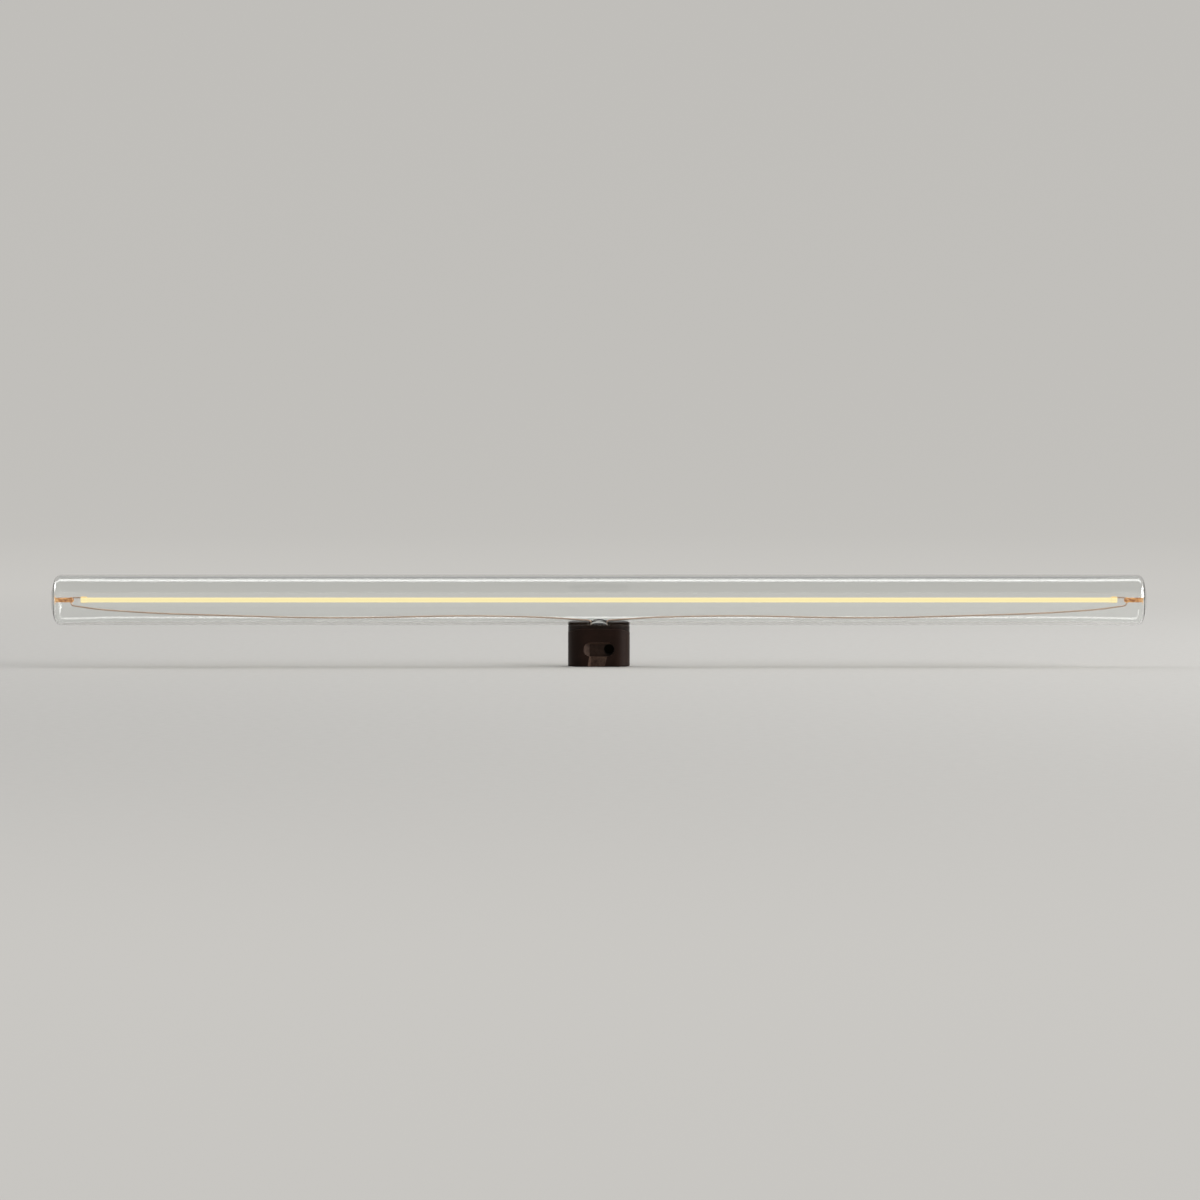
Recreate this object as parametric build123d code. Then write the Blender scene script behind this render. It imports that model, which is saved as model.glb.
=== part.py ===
from build123d import *

import os
from math import asin, atan2, cos, degrees, radians, tan

# A linear filament lamp. A clear glass tube lies along X and stands on an oblong push-in cap.
# The origin is the middle of the cap's flat foot, Z is up and the front of the cap faces -Y.
# Sizes are in millimetres.

# Glass tube
tube_length = 500.0
tube_diameter = 23.0
tube_wall = 1.2
knuckle_radius = 3.0
crown_rise = 1.6

# Glass rods in the two domes
rod_diameter = 2.2
rod_length = 8.0
rod_root_flare = 1.3
rod_bead_swell = 0.2

# Light strip
strip_height = 2.2
strip_depth = 1.6
strip_corner_radius = 0.5
strip_end_gap = 4.4
end_dab_length = 3.2
end_dab_cover = 0.25
end_dab_edge_radius = 0.4

# Lead wires
lead_diameter = 0.7
lead_neck_gap = 0.3
lead_floor_gap = 0.55
lead_bend_radius = 1.2
lead_hook_drop = 2.5
lead_weld_length = 1.0
lead_solder_length = 2.6
lead_sleeve_wall = 0.25

# Each gentle bend of a lead: its place along the run, and its height over the glass below it
lead_wave = [(0.085, 2.35), (0.24, 3.2), (0.505, 1.75), (0.84, 4.2), (0.945, 5.9)]
lead_wave_arc_share = 0.45

# Stem
stem_wall = 0.9
stem_button_thickness = 1.6
exhaust_tip_diameter = 2.6
exhaust_tip_length = 2.8

# Cap
cap_width = 28.2
cap_depth = 14.0
cap_wall = 1.5
cap_floor = 1.6
cap_foot_radius = 0.5
cement_depth = 3.2
cement_gap = 0.2

# Clear seal between the tube and the cap
seal_thickness = 3.2
seal_lip = 0.3

# Latch recess in the front and the back of the cap
latch_length = 13.9
latch_height = 6.4
latch_depth = 2.2
latch_slope_run = 2.75
latch_brow = 0.8
latch_middle_height = 7.9
latch_roof = 1.2
contact_hole_diameter = 4.3
contact_hole_end_gap = 0.15

# Lead-in ramp below each latch recess, deepest along its left wall
ramp_left_at_foot = 5.1
ramp_left_at_latch = 4.2
ramp_right_at_foot = 2.6
ramp_right_at_latch = 3.9
ramp_depth_at_foot = 1.3
ramp_depth_at_latch = 0.7

# Contact strips
contact_thickness = 0.4
contact_overlap = 1.2
contact_leg_height = 3.0
contact_bend_radius = 0.4

# Driver board
board_thickness = 1.0
board_end_gap = 0.4
board_pocket_end_wall = 2.7
board_pocket_corner = 0.8
board_tip_gap = 0.5
board_margin = 0.8
board_rail_reach = 1.0
board_rail_width = 0.7
board_rail_gap = 0.1

# Parts on the board
chip_length = 4.9
chip_height = 3.0
chip_thickness = 1.1
chip_gap = 0.5
chip_clearance = 0.35
rectifier_length = 4.7
rectifier_height = 2.6
rectifier_thickness = 2.2
resistor_diameter = 1.5
resistor_length = 3.6
resistor_cap_length = 0.7
resistor_cap_swell = 0.08
absorber_length = 2.8
absorber_height = 2.2
absorber_thickness = 1.6
package_edge = 0.2
package_lead_width = 0.5
package_lead_thickness = 0.2
package_lead_reach = 0.5

# How far a cutting tool runs past the surface that it cuts
overrun = 1.0

# Sizes that follow from these
tube_radius = tube_diameter / 2
bore_radius = tube_radius - tube_wall
knuckle_x = tube_length / 2 - knuckle_radius - crown_rise
knuckle_offset = tube_radius - knuckle_radius
crown_radius = (knuckle_offset**2 + 2 * knuckle_radius * crown_rise + crown_rise**2) / (2 * crown_rise)
crown_x = tube_length / 2 - crown_radius
lead_radius = lead_diameter / 2

latch_bottom = latch_middle_height - latch_height / 2
contact_hole_x = latch_length / 2 - contact_hole_end_gap - contact_hole_diameter / 2

ledge_height = latch_middle_height + latch_height / 2 + latch_roof
rim_low_height = ledge_height + cement_depth
axis_height = rim_low_height + seal_thickness + tube_radius
saddle_radius = tube_radius + seal_thickness

well_depth = cap_depth - 2 * cap_wall
neck_radius = well_depth / 2 - cement_gap
neck_bore_radius = neck_radius - stem_wall
lead_x = neck_bore_radius - lead_neck_gap - lead_radius

bead_x = tube_length / 2 - tube_wall - rod_length
strip_end_x = bead_x - strip_end_gap
weld_height = strip_height / 2

board_front = lead_radius
board_back = board_front + board_thickness
pocket_half_depth = board_back + chip_thickness + chip_clearance + contact_thickness
pocket_length = cap_width - 2 * board_pocket_end_wall
board_length = pocket_length - 2 * board_end_gap
board_top = ledge_height - exhaust_tip_length - board_tip_gap
lead_foot_height = board_top - lead_solder_length
parts_foot_height = cap_floor + board_margin


def closed_tube(skin):
    """Turned form of the tube's outside, made smaller all over by skin. Each end is a wide crown arc
    that runs into the straight tube through a tighter knuckle arc."""
    radius = tube_radius - skin
    crown = crown_radius - skin
    knuckle = knuckle_radius - skin
    split = degrees(atan2(knuckle_offset, knuckle_x - crown_x))
    tip = tube_length / 2 - skin
    outline = Curve() + [
        Line((-tip, 0), (tip, 0)),
        CenterArc((crown_x, 0), crown, 0, split),
        CenterArc((knuckle_x, knuckle_offset), knuckle, split, 90 - split),
        Line((knuckle_x, radius), (-knuckle_x, radius)),
        CenterArc((-knuckle_x, knuckle_offset), knuckle, 90, 90 - split),
        CenterArc((-crown_x, 0), crown, 180 - split, split),
    ]
    return Pos(0, 0, axis_height) * revolve(Plane.XZ * make_face(outline), Axis.X)


def upright(radius, low, high, x=0.0):
    """Upright cylinder between two heights."""
    return Pos(x, 0, low) * Cylinder(radius, high - low, align=(Align.CENTER, Align.CENTER, Align.MIN))


def oblong(width, depth, low, high):
    """Upright block with half-round ends between two heights."""
    return Pos(0, 0, low) * extrude(SlotOverall(width, depth), high - low)


def right_lead_path():
    """Centre line of the right lead: up the neck, along the tube and round the rod's tip."""
    floor = axis_height - bore_radius
    run = bead_x - lead_x
    corner = (lead_x, floor + lead_floor_gap + lead_radius)
    wave = [(lead_x + place * run, floor + height) for place, height in lead_wave]
    hook_low = (bead_x, axis_height - lead_hook_drop)
    hook_high = (bead_x, axis_height + weld_height)
    weld = (strip_end_x - lead_weld_length, axis_height + weld_height)
    points = [(lead_x, lead_foot_height), corner, *wave, hook_low, hook_high, weld]
    route = [Vector(x, 0, z) for x, z in points]
    runs = [after - before for before, after in zip(route, route[1:])]
    hook_radius = lead_wave_arc_share * (lead_hook_drop + weld_height)
    radii = [lead_bend_radius]
    for before, after in zip(runs[1:-3], runs[2:-2]):
        half_turn = radians(before.get_angle(after)) / 2
        radii.append(lead_wave_arc_share * min(before.length, after.length) / tan(half_turn))
    radii += [hook_radius, hook_radius]
    return FilletPolyline(*route, radius=radii)


def make_right_lead():
    path = right_lead_path()
    section = Plane(origin=path @ 0, z_dir=path % 0) * Circle(lead_radius)
    return sweep(section, path)


def make_right_rod(lead):
    """Glass rod fused through the crown, flared at its root, with the lead's hook sealed in its bead."""
    radius = rod_diameter / 2
    root_radius = radius + rod_root_flare
    root_angle = asin(root_radius / crown_radius)
    root_x = crown_x + crown_radius * cos(root_angle)
    flare_x = root_x - rod_root_flare
    outline = Curve() + [
        Polyline((tube_length / 2, 0), (bead_x, 0), (bead_x, radius), (flare_x, radius)),
        CenterArc((flare_x, root_radius), rod_root_flare, -90, 90),
        CenterArc((crown_x, 0), crown_radius, 0, degrees(root_angle)),
    ]
    shaft = Pos(0, 0, axis_height) * revolve(Plane.XZ * make_face(outline), Axis.X)
    bead = Pos(bead_x, 0, axis_height) * Sphere(radius + rod_bead_swell)
    return shaft + bead - lead


def make_glass_tube(envelope, rods):
    neck_hole = upright(neck_bore_radius, axis_height - tube_radius - overrun, axis_height)
    tube = envelope - closed_tube(tube_wall) - neck_hole
    for rod in rods:
        tube -= rod
    return tube


def make_stem(envelope):
    """Neck, button and exhaust tip as one turned form, cut to sit against the tube."""
    tip_radius = exhaust_tip_diameter / 2
    tip_foot = ledge_height - exhaust_tip_length
    button_top = ledge_height + stem_button_thickness
    outline = Curve() + [
        CenterArc((0, tip_foot + tip_radius), tip_radius, -90, 90),
        Polyline(
            (tip_radius, tip_foot + tip_radius),
            (tip_radius, ledge_height),
            (neck_radius, ledge_height),
            (neck_radius, axis_height),
            (neck_bore_radius, axis_height),
            (neck_bore_radius, button_top),
            (0, button_top),
            (0, tip_foot),
        ),
    ]
    stem = revolve(Plane.XZ * make_face(outline), Axis.Z) - envelope
    for x in (-lead_x, lead_x):
        stem -= upright(lead_radius, ledge_height - overrun, button_top + overrun, x)
    return stem


def make_strip(leads):
    """Phosphor-coated strip, thickened at both ends over the welded leads."""
    dab_half_height = weld_height + lead_radius + end_dab_cover
    dab_depth = strip_depth + 2 * end_dab_cover
    section = Plane.YZ * RectangleRounded(strip_depth, strip_height, strip_corner_radius)
    strip = extrude(section, strip_end_x, both=True)
    dab = Box(end_dab_length, dab_depth, 2 * dab_half_height)
    dab = fillet(dab.edges(), end_dab_edge_radius)
    for side in (-1, 1):
        strip += Pos(side * (strip_end_x - end_dab_length / 2), 0, 0) * dab
    strip = Pos(0, 0, axis_height) * strip
    for lead in leads:
        strip -= lead
    return strip


def latch_tool():
    """Front latch recess: an upright oblong pocket whose floor slopes out at its left end and whose
    upper wall opens out into a brow."""
    front = -cap_depth / 2
    back = front + latch_depth
    end = latch_length / 2
    floor_line = [
        (-end, front),
        (latch_slope_run - end, back),
        (end, back),
        (end, front - overrun),
        (-end, front - overrun),
    ]
    side_line = [
        (back, -latch_height / 2),
        (back, latch_height / 2 - latch_brow),
        (front, latch_height / 2),
        (front - overrun, latch_height / 2),
        (front - overrun, -latch_height / 2),
    ]
    pocket = Rot(90, 0, 0) * extrude(SlotOverall(latch_length, latch_height), cap_depth)
    floor_cut = extrude(make_face(Polyline(*floor_line, close=True)), latch_height / 2, both=True)
    side_cut = extrude(Plane.YZ * make_face(Polyline(*side_line, close=True)), end, both=True)
    return Pos(0, 0, latch_middle_height) * (pocket & floor_cut & side_cut)


def contact_hole_tool():
    """Round hole from the recess floor into the board's pocket."""
    hole = Cylinder(contact_hole_diameter / 2, cap_depth / 2, align=(Align.CENTER, Align.CENTER, Align.MIN))
    return Pos(contact_hole_x, 0, latch_middle_height) * Rot(90, 0, 0) * hole


def ramp_tool():
    """Wedge that lets a holder's spring ride up to the latch. Its left wall slants at 45 degrees and its
    floor runs out to nothing on the right."""
    front = -cap_depth / 2
    sections = []
    for height, left, right, depth in (
        (0.0, ramp_left_at_foot, ramp_right_at_foot, ramp_depth_at_foot),
        (latch_bottom + overrun, ramp_left_at_latch, ramp_right_at_latch, ramp_depth_at_latch),
    ):
        corners = [
            (-left, front),
            (depth - left, front + depth),
            (right, front),
            (right, front - overrun),
            (-left, front - overrun),
        ]
        sections.append(Pos(0, 0, height) * make_face(Polyline(*corners, close=True)))
    return loft(sections, ruled=True)


def make_cap(saddle):
    body = oblong(cap_width, cap_depth, 0, axis_height)
    body = fillet(body.faces().sort_by(Axis.Z)[0].edges(), cap_foot_radius)
    body -= saddle
    body -= oblong(cap_width - 2 * cap_wall, well_depth, ledge_height, axis_height)
    pocket = RectangleRounded(pocket_length, 2 * pocket_half_depth, board_pocket_corner)
    body -= Pos(0, 0, cap_floor) * extrude(pocket, axis_height - cap_floor)
    rail = Box(board_rail_reach, board_rail_width, board_top - cap_floor)
    rail_x = (pocket_length - board_rail_reach) / 2
    rail_offset = board_rail_gap + board_rail_width / 2
    for x in (-rail_x, rail_x):
        for y in (board_front - rail_offset, board_back + rail_offset):
            body += Pos(x, y, (cap_floor + board_top) / 2) * rail
    front_tools = [latch_tool(), contact_hole_tool(), ramp_tool()]
    for turn in (0, 180):
        for tool in front_tools:
            body -= Rot(0, 0, turn) * tool
    return body


def make_seal(saddle, envelope):
    """Clear seal that fills the saddle of the cap and takes the underside of the tube."""
    top = axis_height - tube_radius + seal_lip
    block = oblong(cap_width, cap_depth, rim_low_height - overrun, top)
    return (block & saddle) - envelope - upright(neck_radius, 0, axis_height)


def make_cement(saddle):
    """Cement that fills the well of the cap round the neck."""
    fill = oblong(cap_width - 2 * cap_wall, well_depth, ledge_height, axis_height)
    return fill - saddle - upright(neck_radius, 0, axis_height)


def make_contact(side):
    """Strip behind a contact hole, its narrower leg bent in to the near face of the board. It is drawn for
    the front, side -1, and turned half round for the rear, side 1."""
    plate_size = contact_hole_diameter + 2 * contact_overlap
    board_face = board_front if side < 0 else -board_back
    outer = -pocket_half_depth
    inner = outer + contact_thickness
    left = contact_hole_x - plate_size / 2
    right = contact_hole_x + plate_size / 2
    leg = right - contact_thickness
    corners = [
        (left, outer),
        (right, outer),
        (right, board_face),
        (leg, board_face),
        (leg, inner),
        (left, inner),
    ]
    radii = [0, contact_bend_radius + contact_thickness, 0, 0, contact_bend_radius, 0]
    outline = FilletPolyline(*corners, radius=radii, close=True)
    foot = latch_middle_height - plate_size / 2
    strip = Pos(0, 0, foot) * extrude(make_face(outline), plate_size)
    above_leg = Box(plate_size, pocket_half_depth, plate_size, align=(Align.MIN, Align.MIN, Align.MIN))
    strip -= Pos(contact_hole_x, inner, foot + contact_leg_height) * above_leg
    return Rot(0, 0, 0 if side < 0 else 180) * strip


def make_board():
    height = board_top - cap_floor
    board = Box(board_length, board_thickness, height, align=(Align.CENTER, Align.MIN, Align.MIN))
    return Pos(0, board_front, cap_floor) * board


def make_package(length, height, thickness, leads, face, side, x):
    """Moulded package with flat leads above and below, standing on one face of the board."""
    body = Box(length, thickness, height)
    outer = body.faces().sort_by(Axis.Y)[0 if side < 0 else -1]
    body = chamfer(outer.edges(), package_edge)
    pitch = length / leads
    foot = Box(package_lead_width, package_lead_thickness, height + 2 * package_lead_reach)
    foot_y = -side * (thickness - package_lead_thickness) / 2
    for index in range(leads):
        body += Pos((index - (leads - 1) / 2) * pitch, foot_y, 0) * foot
    middle = parts_foot_height + package_lead_reach + height / 2
    return Pos(x, face + side * thickness / 2, middle) * body


def make_driver_chip(x):
    return make_package(chip_length, chip_height, chip_thickness, 4, board_back, 1, x)


def make_resistor(x):
    """Small round resistor lying against the front of the board, with a metal cap on each end."""
    cap_radius = resistor_diameter / 2 + resistor_cap_swell
    body = Cylinder(resistor_diameter / 2, resistor_length)
    end_cap = Cylinder(cap_radius, resistor_cap_length)
    for side in (-1, 1):
        body += Pos(0, 0, side * (resistor_length - resistor_cap_length) / 2) * end_cap
    return Pos(x, board_front - cap_radius, parts_foot_height + cap_radius) * Rot(0, 90, 0) * body


def make_sleeve(x):
    return upright(lead_radius + lead_sleeve_wall, board_top, ledge_height, x) - upright(
        lead_radius, board_top, ledge_height, x
    )


envelope = closed_tube(0.0)
saddle = Pos(0, 0, axis_height) * Rot(0, 90, 0) * Cylinder(saddle_radius, cap_width + 2 * overrun)

right_lead = make_right_lead()
left_lead = mirror(right_lead, Plane.YZ)
right_rod = make_right_rod(right_lead)
left_rod = mirror(right_rod, Plane.YZ)

board_end = board_length / 2 - board_margin
rectifier_x = -board_end + rectifier_length / 2
outer_chip_x = board_end - chip_length / 2
inner_chip_x = outer_chip_x - chip_length - chip_gap
absorber_x = contact_hole_x

pieces = {
    "glass_tube": make_glass_tube(envelope, [left_rod, right_rod]),
    "left_support_rod": left_rod,
    "right_support_rod": right_rod,
    "glass_stem": make_stem(envelope),
    "led_filament": make_strip([left_lead, right_lead]),
    "left_lead_wire": left_lead,
    "right_lead_wire": right_lead,
    "seal": make_seal(saddle, envelope),
    "cap_housing": make_cap(saddle),
    "cap_cement": make_cement(saddle),
    "front_contact": make_contact(-1),
    "rear_contact": make_contact(1),
    "driver_board": make_board(),
    "bridge_rectifier": make_package(
        rectifier_length, rectifier_height, rectifier_thickness, 2, board_front, -1, rectifier_x
    ),
    "inner_driver_chip": make_driver_chip(inner_chip_x),
    "outer_driver_chip": make_driver_chip(outer_chip_x),
    "surge_absorber": make_package(
        absorber_length, absorber_height, absorber_thickness, 1, board_front, -1, absorber_x
    ),
    "fuse_resistor": make_resistor(0.0),
    "left_lead_sleeve": make_sleeve(-lead_x),
    "right_lead_sleeve": make_sleeve(lead_x),
}

os.makedirs("parts", exist_ok=True)
for node, solid in pieces.items():
    solid.label = node
    export_step(solid, f"parts/{node}.step")
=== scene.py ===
# %% [markdown]
# # A linear filament lamp
#
# The lamp is a clear glass tube half a metre long, closed at both ends. One light strip runs along its
# axis, two stiff wires bring the current to its ends, and a small dark brown cap carries everything at
# the middle. The CAD model gives each size and place. This notebook gives the lamp its glass, its glow
# and its moulded plastic, and then sets it in a plain studio.

from math import atan2, cos, pi, radians, sin, sqrt

import bmesh
import bpy
import numpy as np
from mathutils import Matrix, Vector


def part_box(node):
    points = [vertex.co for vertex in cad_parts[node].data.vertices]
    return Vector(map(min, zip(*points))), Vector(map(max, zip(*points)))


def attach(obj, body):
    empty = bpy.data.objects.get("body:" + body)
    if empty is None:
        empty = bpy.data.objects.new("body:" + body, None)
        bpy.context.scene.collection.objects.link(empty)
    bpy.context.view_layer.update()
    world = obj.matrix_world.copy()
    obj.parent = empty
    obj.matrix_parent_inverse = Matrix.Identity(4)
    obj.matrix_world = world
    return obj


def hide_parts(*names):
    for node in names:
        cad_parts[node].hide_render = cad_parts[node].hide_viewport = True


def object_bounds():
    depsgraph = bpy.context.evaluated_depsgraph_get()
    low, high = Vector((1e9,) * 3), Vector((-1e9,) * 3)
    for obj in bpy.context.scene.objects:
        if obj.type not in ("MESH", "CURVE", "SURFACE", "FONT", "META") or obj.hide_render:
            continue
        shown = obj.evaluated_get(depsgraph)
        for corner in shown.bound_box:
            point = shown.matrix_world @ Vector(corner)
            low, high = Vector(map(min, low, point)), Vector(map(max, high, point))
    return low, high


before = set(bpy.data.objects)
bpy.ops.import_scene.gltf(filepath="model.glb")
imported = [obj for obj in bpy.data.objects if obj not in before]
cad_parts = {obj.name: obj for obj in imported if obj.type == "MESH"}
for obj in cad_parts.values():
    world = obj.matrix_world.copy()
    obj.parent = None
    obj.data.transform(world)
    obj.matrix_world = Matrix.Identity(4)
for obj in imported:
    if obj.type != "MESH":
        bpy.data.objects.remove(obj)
cad_low, cad_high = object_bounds()
mm = 0.001
print("CAD box, mm:", [round(side / mm, 2) for side in cad_high - cad_low])

# %% [markdown]
# ## Small tools
#
# Every new piece is a set of point grids. A grid is an array of rows and columns of points, worked out
# by a formula, and neighbours in the array become the four corners of a face. Where two grids share an
# edge, or a row shrinks to one point at a pole, the equal points are sewn together. A closed skin then
# has an inside and an outside, so Blender can turn its faces the right way.

# %% Tools for meshes
sew_distance = 0.0005 * mm
crease_angle = radians(40)


def grid_quads(rows, columns):
    """Corner numbers of the faces between neighbouring rows and columns of a grid."""
    corner = np.arange(rows * columns).reshape(rows, columns)
    around_face = [corner[:-1, :-1], corner[1:, :-1], corner[1:, 1:], corner[:-1, 1:]]
    return np.stack(around_face, -1).reshape(-1, 4)


def skin_mesh(grids, hollow=False):
    """One closed skin from point grids. A hollow skin bounds a cavity, so its faces point into it."""
    starts = np.cumsum([0] + [grid.shape[0] * grid.shape[1] for grid in grids[:-1]])
    points = np.concatenate([grid.reshape(-1, 3) for grid in grids])
    quads = np.concatenate([start + grid_quads(*grid.shape[:2]) for start, grid in zip(starts, grids)])
    mesh = bpy.data.meshes.new("skin")
    mesh.from_pydata(points.tolist(), [], quads.tolist())
    skin = bmesh.new()
    skin.from_mesh(mesh)
    bmesh.ops.remove_doubles(skin, verts=skin.verts, dist=sew_distance)
    bmesh.ops.recalc_face_normals(skin, faces=skin.faces)
    if hollow:
        bmesh.ops.reverse_faces(skin, faces=skin.faces)
    skin.to_mesh(mesh)
    skin.free()
    return mesh


def make_piece(name, meshes, material, slot, *stands_for):
    """One smooth object from several skins, riding on the lamp in place of its CAD nodes."""
    whole = bmesh.new()
    for mesh in meshes:
        whole.from_mesh(mesh)
        bpy.data.meshes.remove(mesh)
    data = bpy.data.meshes.new(name)
    whole.to_mesh(data)
    whole.free()
    data.shade_smooth()
    data.set_sharp_from_angle(angle=crease_angle)
    data.materials.append(material)
    piece = bpy.data.objects.new(name, data)
    bpy.context.scene.collection.objects.link(piece)
    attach(piece, "root")
    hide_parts(*stands_for)
    print(name, "has", len(data.polygons), "faces and stands for", ", ".join(stands_for))
    return piece


# %% Tools for materials
# A Mix node has sockets for numbers, vectors and colours. These are the places of its colour sockets.
mix_first = 6
mix_second = 7
mix_result = 2


def linear(colour):
    """Linear RGBA of an sRGB hex colour, by the standard two-part curve."""
    srgb = np.array([int(colour[place : place + 2], 16) for place in (1, 3, 5)]) / 255
    rgb = np.where(srgb <= 0.04045, srgb / 12.92, ((srgb + 0.055) / 1.055) ** 2.4)
    return (*rgb.tolist(), 1.0)


def add_node(tree, kind, inputs=None, **settings):
    """Adds one node. An input that is given an output socket is linked to it, and any other is set."""
    node = tree.nodes.new("ShaderNode" + kind)
    for name, value in settings.items():
        setattr(node, name, value)
    for name, value in (inputs or {}).items():
        if isinstance(value, bpy.types.NodeSocket):
            tree.links.new(value, node.inputs[name])
        else:
            node.inputs[name].default_value = value
    return node


def start_material(name):
    """An empty node material and its tree."""
    material = bpy.data.materials.new(name)
    material.use_nodes = True
    material.node_tree.nodes.clear()
    return material, material.node_tree


def blotches(tree, size, detail=2.0):
    """Noise on the piece's own metres. Size is the length of one blotch along X, Y and Z."""
    place = add_node(tree, "TexCoord").outputs["Object"]
    scaled = add_node(tree, "Mapping", {"Vector": place, "Scale": [1 / side for side in size]})
    noise = add_node(tree, "TexNoise", {"Vector": scaled.outputs["Vector"], "Scale": 1.0, "Detail": detail})
    return noise.outputs["Fac"]


def colour_span(tree, factor, dark, light, low=0.3, high=0.7):
    """Colour that goes from dark to light as the factor goes from low to high."""
    ramp = add_node(tree, "ValToRGB", {"Fac": factor})
    for stop, place, colour in zip(ramp.color_ramp.elements, (low, high), (dark, light)):
        stop.position = place
        stop.color = linear(colour)
    return ramp.outputs["Color"]


def finish_material(tree, shader):
    """Joins a shader to the material's output."""
    add_node(tree, "OutputMaterial", {"Surface": shader})


# %% [markdown]
# ## Clear drawn glass
#
# The tube is drawn soda-lime glass. The eye sees it only by what it bends and mirrors: bright lines where
# it reflects a lamp, and thin edges where the wall is seen on its side. Drawing leaves very long, shallow
# waves, which a stretched noise gives as a faint bump. Light from the lamps goes straight through, because
# true caustics would be slow and grainy, and the shadow stays darker where the wall is seen on its side.

# %% Glass finish
draw_wave_size = (140 * mm, 9 * mm, 9 * mm)
draw_wave_depth = 0.4 * mm
glass_ior = 1.52


def clear_drawn_glass():
    """Colourless glass that shows by what it bends and mirrors. Lamplight passes it, less so edge-on."""
    material, tree = start_material("clear_drawn_glass")
    wave = blotches(tree, draw_wave_size, detail=1.0)
    bump = add_node(tree, "Bump", {"Height": wave, "Strength": 0.01, "Distance": draw_wave_depth})
    glass = add_node(
        tree,
        "BsdfPrincipled",
        {
            "Base Color": linear("#FBFCFB"),
            "Roughness": 0.0,
            "IOR": glass_ior,
            "Transmission Weight": 1.0,
            "Normal": bump.outputs["Normal"],
        },
    )
    edge_on = add_node(tree, "LayerWeight", {"Blend": 0.35}).outputs["Facing"]
    shadow_colour = colour_span(tree, edge_on, "#FBFBFA", "#B9BAB8", low=0.1, high=1.0)
    passing = add_node(tree, "BsdfTransparent", {"Color": shadow_colour})
    shadow_ray = add_node(tree, "LightPath").outputs["Is Shadow Ray"]
    look = add_node(
        tree, "MixShader", {0: shadow_ray, 1: glass.outputs["BSDF"], 2: passing.outputs["BSDF"]}
    )
    finish_material(tree, look.outputs["Shader"])
    return material


glass_finish = clear_drawn_glass()
print("glass finish:", glass_finish.name)

# %% [markdown]
# ## The glass envelope
#
# Tube, neck and stem are melted into one piece of glass, so they are one piece here: an outer skin and an
# inner skin. The straight tube is a plain grid of length by angle. Each end is a wide crown arc that runs
# into the tube through a tighter knuckle arc. Round the neck a plain grid would be torn, so a patch there
# runs from the neck's circle outwards: its points slide from the circle to the rim of an unrolled
# rectangle of the tube, and meet the straight grid there.

# %% Sizes of the glass
stem_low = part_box("glass_stem")[0]
tube_radius = 11.5 * mm
axis_height = cad_high.z - tube_radius
half_length = cad_high.x
tube_wall = 1.2 * mm
end_wall = 0.7 * mm
end_taper = 25 * mm
knuckle_radius = 3.0 * mm
crown_rise = 1.6 * mm

knuckle_x = half_length - knuckle_radius - crown_rise
knuckle_offset = tube_radius - knuckle_radius
crown_radius = (knuckle_offset**2 + 2 * knuckle_radius * crown_rise + crown_rise**2) / (2 * crown_rise)
crown_x = half_length - crown_radius
end_split = atan2(knuckle_offset, knuckle_x - crown_x)

stem_wall = 0.9 * mm
neck_radius = 5.3 * mm
neck_bore_radius = neck_radius - stem_wall
neck_flare = 0.5 * mm
button_thickness = 1.6 * mm
exhaust_tip_radius = 1.3 * mm
exhaust_tip_length = 2.8 * mm
button_foot = stem_low.z + exhaust_tip_length
print("tube axis at", round(axis_height / mm, 2), "mm and stem foot at", round(stem_low.z / mm, 2), "mm")

# %% Shape of the tube
patch_half = 20 * mm
steps_round = 144
steps_over_patch = 28
steps_of_slide = 64
slide_power = 1.3
even_points = 10
taper_points = 14
knuckle_points = 14
crown_points = 24
neck_points = 6


def on_tube(x, angle, radius):
    """Points of a round tube along X. The angle is measured from straight down, towards the back."""
    x, angle, radius = np.broadcast_arrays(x, angle, radius)
    return np.stack([x, radius * np.sin(angle), axis_height - radius * np.cos(angle)], -1)


def closed_half(inset, side):
    """Half of the tube from the patch to its pole, inset from the outside. Its profile is a straight run,
    a knuckle arc from a quarter turn to the split angle, and a crown arc from there to the pole. The inset
    shrinks by a smooth step towards the end, because a blown end is thinner than the drawn tube."""
    even = np.linspace(patch_half, knuckle_x - end_taper, even_points)
    taper = np.linspace(0, 1, taper_points)[1:-1]
    knuckle = np.linspace(pi / 2, end_split, knuckle_points)
    crown = np.linspace(end_split, 0, crown_points)[1:]
    end_inset = inset * end_wall / tube_wall
    taper_inset = inset + taper**2 * (3 - 2 * taper) * (end_inset - inset)
    x = [
        even,
        knuckle_x - end_taper * (1 - taper),
        knuckle_x + (knuckle_radius - end_inset) * np.cos(knuckle),
        crown_x + (crown_radius - end_inset) * np.cos(crown),
    ]
    radius = [
        np.full_like(even, tube_radius - inset),
        tube_radius - taper_inset,
        knuckle_offset + (knuckle_radius - end_inset) * np.sin(knuckle),
        (crown_radius - end_inset) * np.sin(crown),
    ]
    turn = np.linspace(-pi, pi, steps_round + 1)
    return on_tube(side * np.concatenate(x)[:, None], turn, np.concatenate(radius)[:, None])


def patch_rim():
    """Rim of the unrolled patch as (x, angle), round its four sides and back to its first point."""
    turn = np.linspace(-pi, pi, steps_round + 1)[:-1]
    along = np.linspace(patch_half, -patch_half, steps_over_patch + 1)[:-1]
    x = [np.full_like(turn, patch_half), along, np.full_like(turn, -patch_half), -along, [patch_half]]
    angle = [turn, np.full_like(along, pi), -turn, np.full_like(along, -pi), [-pi]]
    return np.concatenate(x), np.concatenate(angle)


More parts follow.
